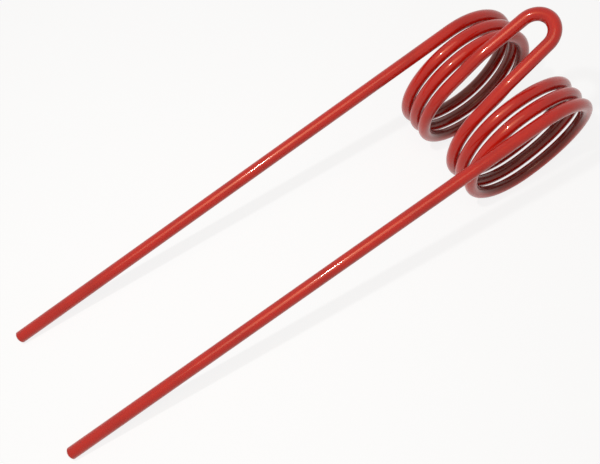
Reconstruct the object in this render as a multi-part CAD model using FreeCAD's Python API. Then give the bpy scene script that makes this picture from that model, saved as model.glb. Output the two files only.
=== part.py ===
# Cultivator spring tine: one bar of round spring steel wire, coiled and bent cold.
#
# The wire runs from one leg's cut end, along the leg, around three turns, up into the
# mounting loop's U-bend, and back the same way on the other side.  The two halves are
# mirror images in the plane x = 0, so one is swept and the other is its reflection.
#
# The path is laid out in the coils' own frame: X is the common axis of both coils, the
# legs point to -Y and the loop to +Y, and both leave the coils at the top, +Z.  The
# whole is then tipped about X until the leg ends and the coils lie on the floor z = 0,
# with the middle of its footprint at the origin.  All sizes are in millimetres.

import FreeCAD, Part

import math
import os

from FreeCAD import Vector

# Driving dimensions
WIRE_D = 8.0            # wire stock
COIL_INSIDE_D = 75.0    # the mandrel that the coils are wound on
TURNS = 3               # whole turns in each coil
PITCH = 9.6             # centre to centre of neighbouring turns, so 1.6 mm of daylight
LEG_SPACING = 84.0      # centre to centre of the two legs
LEG_LENGTH = 335.0      # straight part of a leg, from the coil to its cut end
END_CHAMFER = 0.8       # edge broken on the cut ends
LIFT = 28.0             # degrees short of whole turns where the loop's wire leaves, climbing
LIFT_RUN = 24.0         # from there to the corner of the bend-over
LOOP_RISE = 18.0        # climb of the loop's plane past that corner, in degrees
BEND_OVER_R = 26.0      # centre line radius of the bend-over
LOOP_REACH = 30.0       # from the corner to the centre of the U-bend, along the loop
U_INSIDE_D = 14.0       # inside width of the U-bend, which clears an M12 bolt

# Worked out from them
WIRE_R = WIRE_D / 2
COIL_R = (COIL_INSIDE_D + WIRE_D) / 2
U_R = (U_INSIDE_D + WIRE_D) / 2
COIL_END = 360.0 * TURNS - LIFT


def coil_point(angle):
    """Centre line of the coil on the +X side, `angle` degrees on from the top of the leg.

    Each half turn is a plane half circle, tilted so that it steps across by half the
    pitch.  It crosses the top and the bottom of the coil square to the coil's axis, so
    the half turns run into each other, and into the leg, without a kink.
    """
    half_turns = int(angle // 180)
    swing = math.radians(angle - 180 * half_turns)
    side = -1 if half_turns % 2 else 1
    across = PITCH / 2 * (half_turns + (1 - math.cos(swing)) / 2)
    y = side * math.hypot(COIL_R, PITCH / 4) * math.sin(swing)
    z = side * COIL_R * math.cos(swing)
    return Vector(LEG_SPACING / 2 - across, y, z)


def coil_arcs():
    """The coil's half turns, the last of them cut short where the loop's wire leaves."""
    starts = range(0, 360 * TURNS, 180)
    ends = [min(start + 180, COIL_END) for start in starts]
    return [
        Part.Arc(coil_point(start), coil_point((start + end) / 2), coil_point(end)).toShape()
        for start, end in zip(starts, ends)
    ]


def straight(start, end):
    """A straight run of the centre line."""
    return Part.LineSegment(start, end).toShape()


def rounded_corner(corner, way_in, way_out, radius):
    """Arc that rounds the corner where two straight runs meet."""
    turn = way_in.getAngle(way_out)
    back = radius * math.tan(turn / 2)
    start = corner - way_in * back
    end = corner + way_out * back
    inward = (way_out - way_in).normalize()
    centre = corner + inward * (radius / math.cos(turn / 2))
    middle = centre - inward * radius
    return Part.Arc(start, middle, end).toShape()


def half_centre_line():
    """Edges of the +X half, in order from the leg's cut end to the middle of the U-bend."""
    leg = straight(coil_point(0) - Vector(0, LEG_LENGTH, 0), coil_point(0))
    coil = coil_arcs()
    leaving = coil[-1]
    lift_way = leaving.tangentAt(leaving.LastParameter)

    # The loop's plane climbs at LOOP_RISE.  Its leg is the line from the bend-over's
    # corner that just touches the U-bend's circle, so it closes in a little on the way.
    rise = math.radians(LOOP_RISE)
    up_loop = Vector(0, math.cos(rise), math.sin(rise))
    corner = coil_point(COIL_END) + lift_way * LIFT_RUN
    middle_of_u = Vector(0, corner.y, corner.z) + up_loop * LOOP_REACH
    to_middle = math.hypot(corner.x, LOOP_REACH)
    close_in = math.atan2(corner.x, LOOP_REACH) - math.asin(U_R / to_middle)
    loop_way = Vector(-math.sin(close_in), 0, 0) + up_loop * math.cos(close_in)
    touch = corner + loop_way * math.sqrt(to_middle ** 2 - U_R ** 2)

    bend_over = rounded_corner(corner, lift_way, loop_way, BEND_OVER_R)
    lift_run = straight(coil_point(COIL_END), bend_over.firstVertex().Point)
    loop_leg = straight(bend_over.lastVertex().Point, touch)

    # Half of the U-bend: from the loop's leg to its far point, on x = 0.
    apex = middle_of_u + up_loop * U_R
    halfway = ((touch - middle_of_u) + (apex - middle_of_u)).normalize()
    u_bend = Part.Arc(touch, middle_of_u + halfway * U_R, apex).toShape()
    return [leg, *coil, lift_run, bend_over, loop_leg, u_bend]


def half_tine():
    """The +X half: the wire's round section swept along its centre line."""
    path = Part.Wire(half_centre_line())
    cut_end = coil_point(0) - Vector(0, LEG_LENGTH, 0)
    section = Part.Wire(Part.makeCircle(WIRE_R, cut_end, Vector(0, 1, 0)))
    swept = path.makePipeShell([section], True, False)
    rim = [edge for edge in swept.Edges if (edge.CenterOfMass - cut_end).Length < WIRE_R / 2]
    return swept.makeChamfer(END_CHAMFER, rim)


def rest_angle():
    """Tip, in degrees, that lays both the coils and the leg ends on the floor."""
    # Leg end level with the coil:  (leg) sin t  =  (R + r) + (R - r) cos t
    leg = LEG_LENGTH - END_CHAMFER
    inner = COIL_R - WIRE_R
    outer = COIL_R + WIRE_R
    return math.degrees(math.asin(outer / math.hypot(leg, inner)) + math.atan2(inner, leg))


def spring_tine():
    half = half_tine()
    tine = half.fuse(half.mirror(Vector(0, 0, 0), Vector(1, 0, 0))).removeSplitter()
    tine = tine.Solids[0]
    tine.rotate(Vector(0, 0, 0), Vector(1, 0, 0), rest_angle())
    box = tine.optimalBoundingBox(False)
    tine.translate(Vector(0, -(box.YMin + box.YMax) / 2, COIL_R + WIRE_R))
    return tine


os.makedirs("parts", exist_ok=True)
spring_tine().exportStep("parts/spring_tine.step")
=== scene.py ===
# %% [markdown]
# # A spring tine for a cultivator
#
# The tine is one length of round spring steel wire. Two long legs rake the soil, each leg runs
# into a coil of three turns, and between the coils the wire rises into a U-bend, which is bolted
# to the implement. The whole wire is painted in gloss red enamel. This lesson builds the painted
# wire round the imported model, then a floor, the lamps and a camera.
#
# Everything is in metres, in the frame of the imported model: X along the coils' common axis,
# Y from the leg ends towards the coils, Z up from the floor.

import math

import bpy
import numpy as np
from mathutils import Matrix, Quaternion, Vector


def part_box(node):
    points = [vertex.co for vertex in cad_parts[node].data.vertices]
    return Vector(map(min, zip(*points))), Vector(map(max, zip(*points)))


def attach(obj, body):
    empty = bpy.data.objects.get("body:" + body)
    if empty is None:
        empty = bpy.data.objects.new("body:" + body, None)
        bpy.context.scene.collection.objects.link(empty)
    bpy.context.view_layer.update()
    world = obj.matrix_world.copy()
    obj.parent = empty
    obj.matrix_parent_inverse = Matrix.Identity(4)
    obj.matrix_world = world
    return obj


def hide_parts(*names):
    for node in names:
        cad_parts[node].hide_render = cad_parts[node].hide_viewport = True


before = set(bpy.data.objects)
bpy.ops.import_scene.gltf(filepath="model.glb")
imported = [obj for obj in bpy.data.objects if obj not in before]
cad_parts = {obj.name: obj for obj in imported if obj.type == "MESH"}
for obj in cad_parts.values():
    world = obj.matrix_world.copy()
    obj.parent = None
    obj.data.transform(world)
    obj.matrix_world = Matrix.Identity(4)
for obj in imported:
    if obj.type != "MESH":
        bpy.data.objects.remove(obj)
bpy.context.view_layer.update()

# %% [markdown]
# ## The wire's centre line
#
# A spring like this is described by the line through the middle of its wire. A curve object with
# a round bevel could follow that line, but a mesh that is swept along it gives each point of the
# surface two useful numbers: how far along the wire it is, and how far round. The drawing lines
# of the steel and the skin of the paint are laid out by them later.
#
# Each half turn of a coil is a plane half circle, tilted so that it carries half of the pitch.
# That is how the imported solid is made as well, so both have the same form.

# %% Driving sizes
MM = 0.001
WIRE_D = 8.0 * MM
COIL_INSIDE_D = 75.0 * MM
TURNS = 3
PITCH = 9.6 * MM
LEG_SPACING = 84.0 * MM
LEG_LENGTH = 335.0 * MM
END_CHAMFER = 0.8 * MM
LIFT = 28
LIFT_RUN = 24.0 * MM
LOOP_RISE = math.radians(18)
BEND_OVER_R = 26.0 * MM
LOOP_REACH = 30.0 * MM
U_INSIDE_D = 14.0 * MM

WIRE_R = WIRE_D / 2
COIL_R = (COIL_INSIDE_D + WIRE_D) / 2
U_R = (U_INSIDE_D + WIRE_D) / 2
COIL_END = 360 * TURNS - LIFT
print("wire radius", WIRE_R, "coil radius", COIL_R, "coil ends at", COIL_END, "degrees")

# %% Points of the coil, of a straight run and of an arc
STEP_DEGREES = 3
STEP_STRAIGHT = 5 * MM


def coil_point(angle):
    """The wire's centre, this many degrees round the coil from the top of its outer turn."""
    half_turns = int(angle // 180)
    swing = math.radians(angle - 180 * half_turns)
    side = -1 if half_turns % 2 else 1
    across = PITCH / 2 * (half_turns + (1 - math.cos(swing)) / 2)
    y = side * math.hypot(COIL_R, PITCH / 4) * math.sin(swing)
    z = side * COIL_R * math.cos(swing)
    return Vector((LEG_SPACING / 2 - across, y, z))


def straight(start, end):
    """Points after start, up to and with end."""
    count = max(1, round((end - start).length / STEP_STRAIGHT))
    return [start.lerp(end, k / count) for k in range(1, count + 1)]


def arc(centre, start, end):
    """Points after start, round the centre, up to and with end."""
    spoke = start - centre
    turn = spoke.angle(end - centre)
    axis = spoke.cross(end - centre).normalized()
    count = max(2, round(math.degrees(turn) / STEP_DEGREES))
    return [centre + Quaternion(axis, turn * k / count) @ spoke for k in range(1, count + 1)]


print("top of the outer turn:", coil_point(0), "end of the coil:", coil_point(COIL_END))


# %% The line from a leg's cut end to the middle of the U-bend
def half_line():
    """The centre line of one half of the tine, with the coils' axis along X through the origin."""
    leg_top = coil_point(0)
    leg_end = leg_top - Vector((0, LEG_LENGTH, 0))
    coil = [coil_point(angle) for angle in np.linspace(0, COIL_END, COIL_END // STEP_DEGREES)[1:]]

    lift_way = (coil_point(COIL_END) - coil_point(COIL_END - 0.01)).normalized()
    corner = coil[-1] + lift_way * LIFT_RUN
    up_loop = Vector((0, math.cos(LOOP_RISE), math.sin(LOOP_RISE)))
    middle_of_u = Vector((0, corner.y, corner.z)) + up_loop * LOOP_REACH
    to_middle = math.hypot(corner.x, LOOP_REACH)
    close_in = math.atan2(corner.x, LOOP_REACH) - math.asin(U_R / to_middle)
    loop_way = Vector((-math.sin(close_in), 0, 0)) + up_loop * math.cos(close_in)
    touch = corner + loop_way * math.sqrt(to_middle**2 - U_R**2)

    turn = lift_way.angle(loop_way)
    cut = BEND_OVER_R * math.tan(turn / 2)
    middle_of_bend = corner + (loop_way - lift_way).normalized() * BEND_OVER_R / math.cos(turn / 2)
    line = [leg_end] + straight(leg_end, leg_top) + coil
    line += straight(line[-1], corner - lift_way * cut)
    line += arc(middle_of_bend, line[-1], corner + loop_way * cut)
    line += straight(line[-1], touch)
    return line + arc(middle_of_u, touch, middle_of_u + up_loop * U_R)


one_half = half_line()
other_half = [Vector((-point.x, point.y, point.z)) for point in reversed(one_half[:-1])]
centre_line = one_half + other_half
wire_length = sum((b - a).length for a, b in zip(centre_line, centre_line[1:]))
print(len(centre_line), "points, and the wire is", round(wire_length, 3), "m long")

# %% [markdown]
# ## The cut ends
#
# The wire is cut to length and its rim is knocked off by a small chamfer. Paint draws back from
# sharp edges and rounds them, so both edges of the chamfer get a small radius. The end is given
# as a list of steps: how far in from the end, and how thick the wire is there.

# %% Profile of a painted, chamfered end
EDGE_R = 0.35 * MM
EDGE_STEPS = 4
FACE_R = 0.6 * WIRE_R


def rounded_edge(place, radius, way_in, way_out):
    """Steps of a fillet at one edge of the chamfer. The ways are angles from the face to the axis."""
    cut = EDGE_R * math.tan((way_out - way_in) / 2)
    middle = (
        place - cut * math.sin(way_in) + EDGE_R * math.cos(way_in),
        radius - cut * math.cos(way_in) - EDGE_R * math.sin(way_in),
    )
    ways = np.linspace(way_in, way_out, EDGE_STEPS + 1)
    return [(middle[0] - EDGE_R * math.cos(w), middle[1] + EDGE_R * math.sin(w)) for w in ways]


end_steps = [(0.0, FACE_R)]
end_steps += rounded_edge(0.0, WIRE_R - END_CHAMFER, 0, math.pi / 4)
end_steps += rounded_edge(END_CHAMFER, WIRE_R, math.pi / 4, math.pi / 2)
print("end profile in mm:", [(round(a / MM, 2), round(b / MM, 2)) for a, b in end_steps])

# %% [markdown]
# ## Sweep the section along the line
#
# A round section is carried along the line. From ring to ring it is turned only by as much as
# the line turns, so that the mesh doesn't twist about its own axis. Two measures are kept on the
# points, for the material: where the point would be if the wire were pulled straight, in
# millimetres, and how much it faces the middle of the coil.

# %% Rings along the whole wire
SIDES = 56


def rings(line):
    """For each ring: its centre, its radius, two cross directions, and its distance along."""
    first = (line[1] - line[0]).normalized()
    last = (line[-1] - line[-2]).normalized()
    starts = [(line[0] + first * inset, radius) for inset, radius in end_steps]
    ends = [(line[-1] - last * inset, radius) for inset, radius in reversed(end_steps)]
    stations = starts + [(point, WIRE_R) for point in line[1:-1]] + ends
    centres = [centre for centre, _ in stations]
    cross = first.orthogonal().normalized()
    before = first
    along = 0.0
    found = []
    for k, (centre, radius) in enumerate(stations):
        if k < len(end_steps):
            way = first
        elif k >= len(stations) - len(end_steps):
            way = last
        else:
            way = (centres[k + 1] - centres[k - 1]).normalized()
        cross = before.rotation_difference(way) @ cross
        along += (centre - centres[k - 1]).length if k else 0.0
        found.append((centre, radius, cross.copy(), way.cross(cross), along))
        before = way
    return found


wire_rings = rings(centre_line)
print(len(wire_rings), "rings of", SIDES, "points")

# %% Points, faces and the two measures
ON_COIL = 0.5 * MM
LEG_TOP_SHARE = 0.99


# This measure sets where the enamel gets its painted shade inside the coils.
def inward(centre, spoke):
    """1 where the surface faces the coils' axis inside a coil, 0 elsewhere."""
    if centre.y < 0 and centre.z > LEG_TOP_SHARE * COIL_R:
        return 0.0
    from_axis = Vector((0, centre.y, centre.z))
    if abs(from_axis.length - COIL_R) > ON_COIL:
        return 0.0
    return max(0.0, -spoke.dot(from_axis.normalized()))


points, straightened, facing_in = [], [], []
for centre, radius, across_1, across_2, along in wire_rings:
    for k in range(SIDES):
        angle = 2 * math.pi * k / SIDES
        spoke = across_1 * math.cos(angle) + across_2 * math.sin(angle)
        points.append(centre + spoke * radius)
        straightened += [along / MM, radius * math.cos(angle) / MM, radius * math.sin(angle) / MM]
        facing_in.append(inward(centre, spoke))

faces = []
for ring in range(len(wire_rings) - 1):
    for k in range(SIDES):
        here, after = ring * SIDES, (ring + 1) * SIDES
        turn = (k + 1) % SIDES
        faces.append((here + k, here + turn, after + turn, after + k))
faces.append(tuple(reversed(range(SIDES))))
faces.append(tuple(range(len(points) - SIDES, len(points))))
print(len(points), "points,", len(faces), "faces")

# %% [markdown]
# ## Lay the tine down
#
# At rest the tine lies on its two coils and on the tips of its legs. The angle comes from the
# legs' length and the coils' radius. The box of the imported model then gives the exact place.

# %% The painted wire as a Blender object
leg = LEG_LENGTH - END_CHAMFER
inner = COIL_R - WIRE_R
outer = COIL_R + WIRE_R
rest_angle = math.asin(outer / math.hypot(leg, inner)) + math.atan2(inner, leg)
lying = [Matrix.Rotation(rest_angle, 3, "X") @ point for point in points]
low, high = np.min(lying, axis=0), np.max(lying, axis=0)
cad_low, cad_high = (np.array(corner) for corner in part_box("spring_tine"))
shift = Vector((cad_low + cad_high - low - high) / 2)

painted_wire_mesh = bpy.data.meshes.new("painted_wire")
painted_wire_mesh.from_pydata([point + shift for point in lying], [], faces)
for name, kind, values in (
    ("straightened", "FLOAT_VECTOR", straightened),
    ("facing_in", "FLOAT", facing_in),
):
    measure = painted_wire_mesh.attributes.new(name, kind, "POINT")
    measure.data.foreach_set("vector" if kind == "FLOAT_VECTOR" else "value", values)
painted_wire_mesh.shade_smooth()
painted_wire = bpy.data.objects.new("painted_wire", painted_wire_mesh)
bpy.context.scene.collection.objects.link(painted_wire)
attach(painted_wire, "root")
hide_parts("spring_tine")
print("rest angle", round(math.degrees(rest_angle), 3), "shift in mm", [round(s / MM, 3) for s in shift])

# %% [markdown]
# ## Helpers for the materials
#
# Colours are written as they look on a screen, in hex, and one function turns them to the linear
# values that the shader needs. One more function adds a node with its settings and links.


# %% Colour and node helpers
def linear(hex_colour):
    """Linear red, green, blue and alpha of an sRGB hex colour."""
    channels = [int(hex_colour[k : k + 2], 16) / 255 for k in (1, 3, 5)]
    return [c / 12.92 if c <= 0.04045 else ((c + 0.055) / 1.055) ** 2.4 for c in channels] + [1.0]


def add(tree, kind, inputs=(), **settings):
    """A new node. An input is a value, or another node's output that is linked to it."""
    node = tree.nodes.new(kind)
    for name, value in settings.items():
        setattr(node, name, value)
    for name, value in dict(inputs).items():
        if isinstance(value, bpy.types.NodeSocket):
            tree.links.new(value, node.inputs[name])
        else:
            node.inputs[name].default_value = value
    return node


print("a mid grey in linear light:", [round(c, 3) for c in linear("#808080")])

# %% [markdown]
# ## Gloss red enamel over drawn steel wire
#
# The steel is drawn through a die, which leaves fine lines along the wire. The enamel is sprayed
# or dipped: it is a smooth dielectric skin with an index of about 1.5, a little wavy where it
# levelled badly, which is called orange peel. The colour comes from red pigment, a bit deeper
# where the coat is thick. On the inside of the coils the colour is made a near black brown. That
# darkening is partly a guessed thin coat, where little spray reaches, and partly painted shade.
#
# The pigment and the clear binder on top of it are two layers for the eye: a broad soft sheen,
# and a sharp reflection of the lamps. The Principled shader has both: its own gloss with a
# middling roughness is the pigment's sheen, and its coat is the clear skin.

# %% Enamel: where the pattern lies
enamel = bpy.data.materials.new("gloss_red_enamel")
enamel.use_nodes = True
tree = enamel.node_tree
tree.nodes.clear()

on_wire = add(tree, "ShaderNodeAttribute", attribute_name="straightened").outputs["Vector"]
faces_in = add(tree, "ShaderNodeAttribute", attribute_name="facing_in").outputs["Fac"]
print("the enamel's pattern is laid out in millimetres on the straightened wire")

# %% Enamel: colour
ENAMEL = linear("#BC190F")
ENAMEL_THICK = linear("#A3140E")
# Near black brown for the inside of the coils: painted shade, with a guessed thin coat.
INSIDE_COAT_AND_SHADE = linear("#3E0705")
CLOUD_MM = 22.0
MOST_THICK = 0.6
MOST_INSIDE_SHADE = 0.75

clouds = add(
    tree,
    "ShaderNodeTexNoise",
    {"Vector": on_wire, "Scale": 1 / CLOUD_MM, "Detail": 3.0, "Roughness": 0.55},
)
thick_share = add(
    tree,
    "ShaderNodeMapRange",
    {"Value": clouds.outputs["Fac"], "From Min": 0.45, "From Max": 0.7, "To Max": MOST_THICK},
)
red = add(
    tree,
    "ShaderNodeMix",
    {"Factor": thick_share.outputs["Result"], 6: ENAMEL, 7: ENAMEL_THICK},
    data_type="RGBA",
)
# How far the painted shade darkens the red on the inside of the coils.
inside_shade_share = add(
    tree,
    "ShaderNodeMapRange",
    {"Value": faces_in, "From Min": 0.25, "From Max": 1.0, "To Max": MOST_INSIDE_SHADE},
    interpolation_type="SMOOTHSTEP",
)
red_with_inside_shade = add(
    tree,
    "ShaderNodeMix",
    {"Factor": inside_shade_share.outputs["Result"], 6: red.outputs[2], 7: INSIDE_COAT_AND_SHADE},
    data_type="RGBA",
)
print("enamel colours:", [round(c, 3) for c in ENAMEL[:3]])

# %% Enamel: skin
DRAWING_LINE_MM = 0.5
DRAWING_LINE_LENGTH_MM = 60.0
PEEL_MM = 1.8
NIB_SPACING_MM = 9.0
NIB_SIZE = 0.035

# Real drawing lines are finer than a tenth of a millimetre. They are drawn coarser here, so that
# they can show at all. Each height goes with the share of it that the bump applies.
LINE_RELIEF = (0.02 * MM, 0.1)
PEEL_RELIEF = (0.04 * MM, 0.07)
NIB_RELIEF = (0.03 * MM, 0.2)


def relief(pattern, height_and_share, under=None):
    """The surface's direction after this relief is laid over the one under it."""
    height, share = height_and_share
    inputs = {"Height": pattern, "Strength": share, "Distance": height}
    if under:
        inputs["Normal"] = under
    return add(tree, "ShaderNodeBump", inputs).outputs["Normal"]


line_space = add(
    tree,
    "ShaderNodeVectorMath",
    {0: on_wire, 1: (1 / DRAWING_LINE_LENGTH_MM, 1 / DRAWING_LINE_MM, 1 / DRAWING_LINE_MM)},
    operation="MULTIPLY",
)
drawing_lines = add(
    tree, "ShaderNodeTexNoise", {"Vector": line_space.outputs["Vector"], "Scale": 1.0, "Detail": 2.0}
)
peel = add(tree, "ShaderNodeTexNoise", {"Vector": on_wire, "Scale": 1 / PEEL_MM, "Detail": 1.0})
nibs = add(tree, "ShaderNodeTexVoronoi", {"Vector": on_wire, "Scale": 1 / NIB_SPACING_MM})
nib_height = add(
    tree,
    "ShaderNodeMapRange",
    {"Value": nibs.outputs["Distance"], "From Max": NIB_SIZE, "To Min": 1.0, "To Max": 0.0},
    interpolation_type="SMOOTHSTEP",
)
lined = relief(drawing_lines.outputs["Fac"], LINE_RELIEF)
peeled = relief(peel.outputs["Fac"], PEEL_RELIEF, under=lined)
skin = relief(nib_height.outputs["Result"], NIB_RELIEF, under=peeled)
print("orange peel every", PEEL_MM, "mm, drawing lines every", DRAWING_LINE_MM, "mm")

# %% Enamel: gloss
SHEEN_ROUGHNESS = (0.30, 0.42)
ENAMEL_IOR = 1.5
WARM_SHEEN = linear("#FFB070")

sheen_clouds = add(
    tree, "ShaderNodeTexNoise", {"Vector": line_space.outputs["Vector"], "Scale": 0.4, "Detail": 4.0}
)
sheen_roughness = add(
    tree,
    "ShaderNodeMapRange",
    {
        "Value": sheen_clouds.outputs["Fac"],
        "From Min": 0.3,
        "From Max": 0.7,
        "To Min": SHEEN_ROUGHNESS[0],
        "To Max": SHEEN_ROUGHNESS[1],
    },
)
shader = add(
    tree,
    "ShaderNodeBsdfPrincipled",
    {
        "Base Color": red_with_inside_shade.outputs[2],
        "Roughness": sheen_roughness.outputs["Result"],
        "IOR": ENAMEL_IOR,
        "Specular IOR Level": 0.35,
        "Specular Tint": WARM_SHEEN,
        "Normal": skin,
        "Coat Weight": 0.6,
        "Coat Roughness": 0.09,
        "Coat IOR": ENAMEL_IOR,
        "Coat Normal": peeled,
    },
)
add(tree, "ShaderNodeOutputMaterial", {"Surface": shader.outputs["BSDF"]})
painted_wire.data.materials.append(enamel)
print("enamel nodes:", len(tree.nodes))

# %% [markdown]
# ## Floor and surroundings
#
# The floor is a wide sheet of white paper. To the camera and in reflections most of its white is
# its own, and the lamps give the rest, so that it still shows the tine's shadow, though faintly.

# %% What the camera sees, straight or in gloss and glass
def seen_directly(tree):
    """1 for rays from the camera and for reflected and transmitted ones, 0 for the rest."""
    rays = add(tree, "ShaderNodeLightPath").outputs
    sharp = {0: rays["Is Camera Ray"], 1: rays["Is Glossy Ray"]}
    either = add(tree, "ShaderNodeMath", sharp, operation="MAXIMUM").outputs[0]
    every = {0: either, 1: rays["Is Transmission Ray"]}
    return add(tree, "ShaderNodeMath", every, operation="MAXIMUM").outputs[0]


print("one switch serves the floor and the surroundings")

# %% White paper floor
FLOOR_SIZE = 8.0
BELOW_TINE = 0.02 * MM
PAPER_WHITE = linear("#FAFAF9")
OWN_WHITE = 0.85

bpy.ops.mesh.primitive_plane_add(size=FLOOR_SIZE, location=(0, 0, -BELOW_TINE))
floor = bpy.context.object
floor.name = "floor"

paper = bpy.data.materials.new("white_studio_paper")
paper.use_nodes = True
tree = paper.node_tree
tree.nodes.clear()
own_share = add(tree, "ShaderNodeMath", {0: seen_directly(tree), 1: OWN_WHITE}, operation="MULTIPLY")
lit_paper = add(tree, "ShaderNodeBsdfDiffuse", {"Color": PAPER_WHITE})
own_white = add(tree, "ShaderNodeEmission", {"Color": (1, 1, 1, 1), "Strength": 1.0})
paper_shader = add(
    tree,
    "ShaderNodeMixShader",
    {0: own_share.outputs[0], 1: lit_paper.outputs[0], 2: own_white.outputs[0]},
)
add(tree, "ShaderNodeOutputMaterial", {"Surface": paper_shader.outputs[0]})
floor.data.materials.append(paper)
print("floor of", FLOOR_SIZE, "m")

# %% [markdown]
# ## Lamps
#
# A small bright lamp near the camera gives the white glints and about half of the light. A large
# warm soft lamp above the tine adds a soft sheen along the wire. The surroundings fill the shadows.

# %% Surroundings
WORLD_FILL = 0.22

world = bpy.data.worlds.new("studio")
bpy.context.scene.world = world
world.use_nodes = True
tree = world.node_tree
tree.nodes.clear()
strength = add(
    tree, "ShaderNodeMapRange", {"Value": seen_directly(tree), "To Min": WORLD_FILL, "To Max": 1.0}
)
background = add(
    tree,
    "ShaderNodeBackground",
    {"Color": (1, 1, 1, 1), "Strength": strength.outputs["Result"]},
)
add(tree, "ShaderNodeOutputWorld", {"Surface": background.outputs[0]})
print("fill from all round:", WORLD_FILL)


# %% Lamps
def lamp(name, place, aim, size, power, colour):
    """A round lamp that the camera doesn't see."""
    data = bpy.data.lights.new(name, "AREA")
    data.shape = "DISK"
    data.size = size
    data.energy = power
    data.color = linear(colour)[:3]
    made = bpy.data.objects.new(name, data)
    made.location = place
    made.rotation_euler = (Vector(place) - Vector(aim)).to_track_quat("Z", "Y").to_euler()
    made.visible_camera = False
    bpy.context.scene.collection.objects.link(made)
    return made


MIDDLE = (0.0, 0.0, 0.05)
SOFT_LAMP_PLACE = (0.15, -0.35, 1.25)
SOFT_LAMP_WIDTH = 0.9
SOFT_LAMP_WATTS = 4.5
SMALL_LAMP_PLACE = (-0.011, -0.143, 0.521)
SMALL_LAMP_WIDTH = 0.024
SMALL_LAMP_WATTS = 1.3

lamp("soft_lamp", SOFT_LAMP_PLACE, MIDDLE, SOFT_LAMP_WIDTH, SOFT_LAMP_WATTS, "#FFE6C8")
lamp("small_lamp", SMALL_LAMP_PLACE, MIDDLE, SMALL_LAMP_WIDTH, SMALL_LAMP_WATTS, "#FFFFFF")
print("lamps of", SOFT_LAMP_WATTS, "and", SMALL_LAMP_WATTS, "watts")

# %% [markdown]
# ## Camera
#
# The camera looks steeply down over the coils towards the legs, from about 0.4 m, and is turned a
# little about its own axis.

# %% Camera
LENS_MM = 40.36
SENSOR_MM = 36.0
AIM = Vector((6.46, -5.76, 40.0)) * MM
DISTANCE = 415.97 * MM
ELEVATION = math.radians(64.794)
HEADING = math.radians(-64.133)
ROLL = math.radians(-6.075)

back = Vector(
    (
        -math.sin(HEADING) * math.cos(ELEVATION),
        -math.cos(HEADING) * math.cos(ELEVATION),
        math.sin(ELEVATION),
    )
)
camera_data = bpy.data.cameras.new("camera")
camera_data.lens = LENS_MM
camera_data.sensor_width = SENSOR_MM
camera_data.clip_start = 0.01
camera = bpy.data.objects.new("camera", camera_data)
camera.location = AIM + back * DISTANCE
camera.rotation_mode = "QUATERNION"
camera.rotation_quaternion = back.to_track_quat("Z", "Y") @ Quaternion((0, 0, 1), ROLL)
bpy.context.scene.collection.objects.link(camera)
bpy.context.scene.camera = camera
bpy.context.scene.view_settings.view_transform = "Standard"
print("camera at", [round(c, 4) for c in camera.location])
print("right", [round(c, 4) for c in camera.rotation_quaternion @ Vector((1, 0, 0))])
